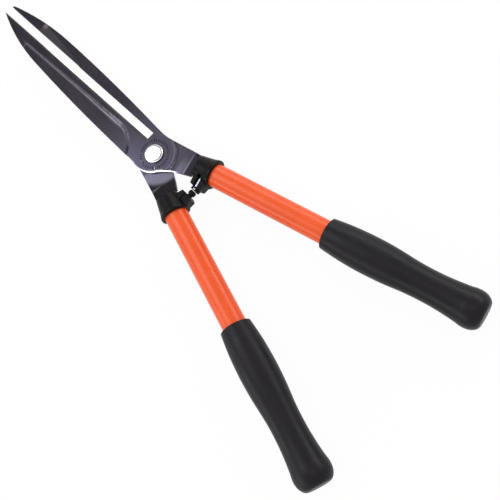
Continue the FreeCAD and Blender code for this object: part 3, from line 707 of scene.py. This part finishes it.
forged_steel = make_forged_steel()
turned_steel = make_turned_steel()
plated_steel = make_plated_steel("plated_steel", (0.60, 0.61, 0.72), 0.22)
bearing_bronze = make_plated_steel("bearing_bronze", (0.52, 0.30, 0.12), 0.3)
orange_lacquer = make_lacquer()
moulded_plastic = make_moulded(
    "moulded_plastic", light=(0.0036, 0.0028, 0.0028), dark=(0.0026, 0.0020, 0.0020), rough=0.30,
    texture=2600.0, depth=0.015, gloss=0.11,
)
soft_grip = make_moulded(
    "soft_grip", light=(0.0060, 0.0046, 0.0064), dark=(0.0046, 0.0034, 0.0050), rough=0.36,
    texture=2000.0, depth=0.02, gloss=0.18,
)
stop_rubber = make_moulded(
    "stop_rubber", light=(0.0060, 0.0056, 0.0056), dark=(0.0042, 0.0038, 0.0038), rough=0.45,
    texture=2200.0, depth=0.02, gloss=0.1,
)
nylon = make_moulded(
    "nylon", light=(0.62, 0.64, 0.60), dark=(0.54, 0.56, 0.52), rough=0.4,
    texture=1500.0, depth=0.01, gloss=0.5,
)

finish_of_slot = {
    "blade_steel": forged_steel,
    "bright_steel": plated_steel,
    "lacquered_tube": orange_lacquer,
    "moulded_plastic": moulded_plastic,
    "soft_grip": soft_grip,
    "bearing_bronze": bearing_bronze,
    "nylon": nylon,
}
for node, slot in slot_of_node.items():
    frame["nodes"][node].data.materials.clear()
    frame["nodes"][node].data.materials.append(finish_of_slot[slot])

# Forged halves

STAMP_SIZES = {"Radius": 13.7, "Length": 2.8, "Width": 0.85, "Depth": 0.25}
STAMP_COUNT = 36

FORGING_ROUNDING = 0.25
LONGEST_EDGE = 12.0
# Rounding as a share of the plain one
LAND_ROUNDING = 0.15
OTHER_ROUNDING = 1.2
TOP_RIM_ROUNDING = 2.6
RECESS_ROUNDING_PER_DEPTH = 2.2
LEAST_RECESS_ROUNDING = 0.3
# Where the recess's wall, the land and the top rims of boss and tang are, by turn and place
RECESS_TURN = (34.0, 44.0)
RECESS_STARTS = 20.0
RECESS_ABOVE = 1.5
LAND_BELOW = 1.0
TOP_RIM_TURN = 70.0
TOP_RIM_ENDS = 24.0
TOP_RIM_ABOVE = 3.5


def make_stamped_ring():
    """A tree of short radial marks set in a ring, to be cut into a boss."""
    sizes = {label: size * MM for label, size in STAMP_SIZES.items()}
    inputs = {"Count": STAMP_COUNT, **sizes, "Height": 0.0, "Steel": None}
    group, given = new_group("stamped_ring", inputs, {"Marks": "NodeSocketGeometry"}, "GeometryNodeTree")
    centre = vector_of(group, 0.0, 0.0, given["Height"])
    ring = place_node(group, "GeometryNodeMeshCircle", {
        "Vertices": given["Count"], "Radius": given["Radius"],
    })
    thick = maths(group, "MULTIPLY", given["Depth"], 2.0)
    size = vector_of(group, given["Length"], given["Width"], thick)
    mark = place_node(group, "GeometryNodeMeshCube", {"Size": size}).outputs["Mesh"]
    outward = place_node(group, "FunctionNodeAlignRotationToVector", {
        "Vector": place_node(group, "GeometryNodeInputPosition").outputs[0],
    }, axis="X").outputs[0]
    marks = place_node(group, "GeometryNodeInstanceOnPoints", {
        "Points": ring.outputs["Mesh"], "Instance": mark, "Rotation": outward,
    }).outputs["Instances"]
    lifted = place_node(group, "GeometryNodeTranslateInstances", {
        "Instances": marks, "Translation": centre, "Local Space": False,
    }).outputs[0]
    real = place_node(group, "GeometryNodeRealizeInstances", {"Geometry": lifted}).outputs[0]
    steel = place_node(group, "GeometryNodeSetMaterial", {"Geometry": real, "Material": given["Steel"]})
    place_node(group, "NodeGroupOutput", {"Marks": steel.outputs[0]})
    return group


stamped_ring = make_stamped_ring()


def stamped_marks(height):
    marks = new_object("stamped_marks", bpy.data.meshes.new("stamped_marks"))
    tree = marks.modifiers.new("ring", "NODES")
    tree.node_group = stamped_ring
    given = [item for item in stamped_ring.interface.items_tree if item.in_out == "INPUT"]
    identifiers = {item.name: item.identifier for item in given}
    tree[identifiers["Height"]] = height * MM
    tree[identifiers["Steel"]] = forged_steel
    return baked(marks)


def split_long_edges(piece, longest):
    """Puts points along the long straight edges, so that the width of a rounding can change along them."""
    made = bmesh.new()
    made.from_mesh(piece.data)
    for edge in list(made.edges):
        cuts = int(edge.calc_length() / (longest * MM))
        if cuts:
            bmesh.ops.subdivide_edges(made, edges=[edge], cuts=cuts, use_only_quads=False)
    made.to_mesh(piece.data)
    made.free()


def forging_edge(edge):
    """Rounding as a share of the plain one: wide along the recess and on the rims of boss and tang."""
    turn = math.degrees(edge.calc_face_angle(0.0))
    heights = [abs(vertex.co.z / MM - SLIDING_PLANE) for vertex in edge.verts]
    place = (edge.verts[0].co + edge.verts[1].co) / 2 / MM
    if RECESS_TURN[0] < turn < RECESS_TURN[1] and min(heights) > RECESS_ABOVE and place.y > RECESS_STARTS:
        wall = BOSS_THICKNESS - BLADE_TAPER * max(0.0, place.y - TAPER_START) - RECESS_FLOOR
        return max(LEAST_RECESS_ROUNDING, RECESS_ROUNDING_PER_DEPTH * wall)
    if max(heights) < LAND_BELOW:
        return LAND_ROUNDING
    if min(heights) > TOP_RIM_ABOVE and turn > TOP_RIM_TURN and place.y < TOP_RIM_ENDS:
        return TOP_RIM_ROUNDING
    return OTHER_ROUNDING


def make_forging(name, height):
    forging = joined_copy(f"{name}_blade", f"{name}_forging")
    split_long_edges(forging, LONGEST_EDGE)
    round_edges(forging, FORGING_ROUNDING, wide=forging_edge, segments=4)
    cut_away(forging, stamped_marks(height))
    stands_for(shade(forging, sharp=40.0), f"{name}_blade", forged_steel)


make_forging("upper", BOSS_TOP)
make_forging("lower", BOSS_UNDERSIDE)

# Pivot

UPRIGHT = Matrix.Rotation(-math.pi / 2, 4, "Y")
BOLT_SEAT = 22.35
BOLT_TOP = 25.65
BOLT_NECK_FLATS = 8.2
BOLT_NECK_REACH = 6.0

# Places up the axis, with the radius there
BOLT_HEAD = [
    (BOLT_SEAT, 8.3), (BOLT_SEAT + 0.25, 8.75), (BOLT_SEAT + 0.6, 8.9), (BOLT_SEAT + 1.8, 8.9),
    (BOLT_SEAT + 2.25, 8.8), (BOLT_SEAT + 2.5, 8.5), (BOLT_SEAT + 2.55, 8.1), (BOLT_SEAT + 2.3, 7.85),
    (BOLT_SEAT + 2.2, 7.6), (BOLT_SEAT + 2.4, 7.45), (BOLT_TOP - 0.35, 7.4), (BOLT_TOP - 0.1, 7.2),
    (BOLT_TOP, 6.8), (BOLT_TOP, 0),
]
BOLT_SHANK = [
    (0.0, 0), (0.0, 3.2), (0.8, 4.0), (BOSS_UNDERSIDE, 4.0), (BOSS_UNDERSIDE, 5.0), (BOLT_SEAT, 5.0),
]
FLAT_WASHER = [
    (10.65, 4.35), (10.65, 9.8), (10.75, 9.95), (10.9, 10.0), (11.95, 10.0), (12.08, 9.93), (12.15, 9.75),
    (12.15, 4.35), (12.05, 4.25), (10.75, 4.25),
]
CONE_WASHER = [
    (8.9, 4.35), (9.0, 4.27), (9.8, 4.27), (9.9, 4.4), (10.6, 8.0), (10.65, 8.1), (10.55, 8.2), (9.83, 8.2),
    (9.76, 8.05),
]


def box_cutter(low, high):
    made = bmesh.new()
    bmesh.ops.create_cube(made, size=1.0)
    for vertex in made.verts:
        vertex.co = Vector([b if c > 0 else a for a, b, c in zip(low, high, vertex.co)]) * MM
    return new_object("cutter", mesh_of(made, "cutter"))


def make_bolt():
    """The bolt, with two flats that the lower half holds."""
    bolt = lathe("pivot_screw", [*BOLT_SHANK, *BOLT_HEAD], UPRIGHT)
    for side in (-1, 1):
        near, far = sorted((side * BOLT_NECK_FLATS / 2, side * BOLT_NECK_REACH))
        flat = box_cutter((near, -BOLT_NECK_REACH, BOSS_UNDERSIDE), (far, BOLT_NECK_REACH, SLIDING_PLANE))
        cut_away(bolt, flat)
    stands_for(shade(bolt, sharp=28.0), "pivot_bolt", turned_steel)


def make_washer(name, profile, node):
    stands_for(shade(lathe(name, profile, UPRIGHT, ring=True)), node, plated_steel)


def make_chamfered(name, node, width):
    stands_for(shade(round_edges(joined_copy(node, name), width)), node, plated_steel)


make_bolt()
make_washer("flat_washer", FLAT_WASHER, "thrust_washer")
make_washer("cone_washer", CONE_WASHER, "spring_washer")
make_chamfered("hexagon_nut", "lock_nut", 0.12)
make_chamfered("striker", "striker_pin", 0.15)

# Ferrules and the rubber stop

def moulded(node, name, material, grid=0.35, rounds=5):
    """A piece with the soft inner and outer corners that a mould leaves."""
    piece = joined_copy(node, name)
    remesh = piece.modifiers.new("even_mesh", "REMESH")
    remesh.mode = "VOXEL"
    remesh.voxel_size = grid * MM
    soften = piece.modifiers.new("soften", "SMOOTH")
    soften.factor = 0.5
    soften.iterations = rounds
    stands_for(smooth(baked(piece)), node, material)


moulded("upper_ferrule", "upper_collar", moulded_plastic)
moulded("lower_ferrule", "lower_collar", moulded_plastic)
moulded("rubber_buffer", "rubber_stop", stop_rubber, grid=0.18, rounds=4)

# Tubes and grips

TUBE_CHAMFER = 0.3
TUBE_PROFILE = [
    (TUBE_START, TUBE_RADIUS - TUBE_WALL),
    (TUBE_START, TUBE_RADIUS - TUBE_CHAMFER),
    (TUBE_START + TUBE_CHAMFER, TUBE_RADIUS),
    (TUBE_END, TUBE_RADIUS),
    (TUBE_END, TUBE_RADIUS - TUBE_WALL),
]

# Places along the grip as shares of its length, with the radius there
GRIP_STATIONS = [
    (0.0, 12.9), (0.001, 13.6), (0.004, 14.15), (0.009, 14.4), (0.055, 15.17), (0.12, 16.12),
    (0.2, 16.76), (0.295, 17.0), (0.385, 16.59), (0.46, 15.82), (0.525, 14.94), (0.585, 14.4),
    (0.65, 14.2), (0.72, 14.4), (0.795, 15.1), (0.863, 16.19), (0.893, 16.93), (0.923, 17.2),
    (0.953, 16.5), (0.972, 15.2), (0.986, 13.75), (0.9945, 12.2), (0.999, 10.6), (1.0, 9.2),
]
GRIP_BORE = TUBE_RADIUS + 0.1
GRIP_BORE_END = TUBE_END + 1.7


def grip_profile():
    skin = [(GRIP_START + GRIP_LENGTH * share, radius) for share, radius in GRIP_STATIONS]
    skin = [(along, min(radius, GRIP_LARGEST_RADIUS)) for along, radius in flowing(skin)]
    bore = [(GRIP_BORE_END, 0), (GRIP_BORE_END, GRIP_BORE), (GRIP_START, GRIP_BORE)]
    return [*bore, *skin, (GRIP_START + GRIP_LENGTH, 0)]


def make_handle(name, place):
    tube = lathe(f"{name}_lacquered_tube", TUBE_PROFILE, place, steps=128, ring=True)
    stands_for(shade(tube), f"{name}_tube", orange_lacquer)
    grip = lathe(f"{name}_hand_grip", grip_profile(), place)
    stands_for(shade(grip), f"{name}_grip", soft_grip)


make_handle("upper", handle_matrix(upper=True))
make_handle("lower", handle_matrix(upper=False))

# Floor and surroundings

FLOOR_REACH = 4.0
WHITE = (1.0, 1.0, 1.0, 1.0)
FLOOR_WHITE = (0.88, 0.88, 0.88, 1.0)
FLOOR_GLOW = 0.96
SKY_STRENGTH = 0.6


def seen_directly(tree):
    path = place_node(tree, "ShaderNodeLightPath").outputs
    seen_or_mirrored = either(tree, path["Is Camera Ray"], path["Is Glossy Ray"])
    return either(tree, seen_or_mirrored, path["Is Transmission Ray"])


def make_floor_paint():
    """A pale floor that looks evenly white and still takes soft shadows."""
    made, tree = new_material("floor_paint")
    diffuse = place_node(tree, "ShaderNodeBsdfDiffuse", {"Color": FLOOR_WHITE})
    glow = place_node(tree, "ShaderNodeEmission", {"Color": WHITE, "Strength": 1.0})
    share = maths(tree, "MULTIPLY", seen_directly(tree), FLOOR_GLOW)
    mixed = place_node(tree, "ShaderNodeMixShader", {0: share, 1: diffuse.outputs[0], 2: glow.outputs[0]})
    place_node(tree, "ShaderNodeOutputMaterial", {"Surface": mixed.outputs[0]})
    return made


def make_floor():
    corners = [(x * FLOOR_REACH, y * FLOOR_REACH, 0) for x, y in ((-1, -1), (1, -1), (1, 1), (-1, 1))]
    mesh = bpy.data.meshes.new("floor")
    mesh.from_pydata(corners, [], [(0, 1, 2, 3)])
    mesh.materials.append(make_floor_paint())
    return new_object("floor", mesh)


def make_studio():
    """A white surround, dimmer for the light it casts than where it is seen or mirrored."""
    world = bpy.data.worlds.new("studio")
    bpy.context.scene.world = world
    world.use_nodes = True
    tree = world.node_tree
    tree.nodes.clear()
    sockets = {"Value": seen_directly(tree), "To Min": SKY_STRENGTH, "To Max": 1.0}
    strength = place_node(tree, "ShaderNodeMapRange", sockets)
    sky = place_node(tree, "ShaderNodeBackground", {"Color": WHITE, "Strength": strength.outputs[0]})
    place_node(tree, "ShaderNodeOutputWorld", {"Surface": sky.outputs[0]})


floor = make_floor()
make_studio()

# Lamps and camera

# Name, place, where it points, width and height, and power
SOFTBOXES = [
    ("key_softbox", (-0.5, 0.7, 1.3), (0.0, -0.05, 0.0), (0.9, 0.9), 7.5),
    ("left_softbox", (-1.3, -0.05, 0.36), (0.0, -0.1, 0.0), (1.4, 0.45), 6.0),
    ("low_right_softbox", (1.25, -0.05, 0.58), (0.0, -0.1, 0.0), (1.4, 0.5), 7.5),
    ("front_softbox", (0.12, -0.5, 1.25), (0.05, -0.2, 0.0), (0.35, 0.35), 1.0),
    ("right_softbox", (1.1, 1.0, 0.8), (0.0, -0.1, 0.0), (0.6, 0.8), 4.0),
]

CAMERA_PLACE = (8.99, -406.8, 706.3)
CAMERA_TILT = 22.0
CAMERA_TURN = -2.882
CAMERA_ROLL = 2.214
CAMERA_FOCAL_SHARE = 844.2 / 500.0
CAMERA_SHIFT = (-0.0307, -0.0452)
CAMERA_NEAREST = 50.0


def make_softbox(name, place, target, size, power):
    lamp = bpy.data.lights.new(name, "AREA")
    lamp.shape = "RECTANGLE"
    lamp.size, lamp.size_y = size
    lamp.energy = power
    made = new_object(name, lamp)
    made.location = place
    made.rotation_mode = "QUATERNION"
    made.rotation_quaternion = (Vector(target) - Vector(place)).to_track_quat("-Z", "Y")


def camera_matrix():
    """The camera looks down and forward, with the right of the picture halfway between side and handles."""
    tilt = math.radians(CAMERA_TILT)
    turn = Matrix.Rotation(math.radians(CAMERA_TURN), 3, "Z")
    forward = turn @ Vector((0.0, math.sin(tilt), -math.cos(tilt)))
    toward_handles = turn @ Vector((0.0, -math.cos(tilt), -math.sin(tilt)))
    sideways = turn @ Vector((1.0, 0.0, 0.0))
    roll = Matrix.Rotation(math.radians(CAMERA_ROLL), 3, -forward)
    right = roll @ (sideways + toward_handles).normalized()
    up = roll @ (sideways - toward_handles).normalized()
    facing = Matrix((right, up, -forward)).transposed().to_4x4()
    return Matrix.Translation(Vector(CAMERA_PLACE) * MM) @ facing


for softbox in SOFTBOXES:
    make_softbox(*softbox)

camera_data = bpy.data.cameras.new("camera")
camera_data.lens = camera_data.sensor_width * CAMERA_FOCAL_SHARE
camera_data.shift_x, camera_data.shift_y = CAMERA_SHIFT
camera_data.clip_start = CAMERA_NEAREST * MM
camera = new_object("camera", camera_data)
camera.matrix_world = camera_matrix()
bpy.context.scene.camera = camera
bpy.context.scene.view_settings.view_transform = "Standard"
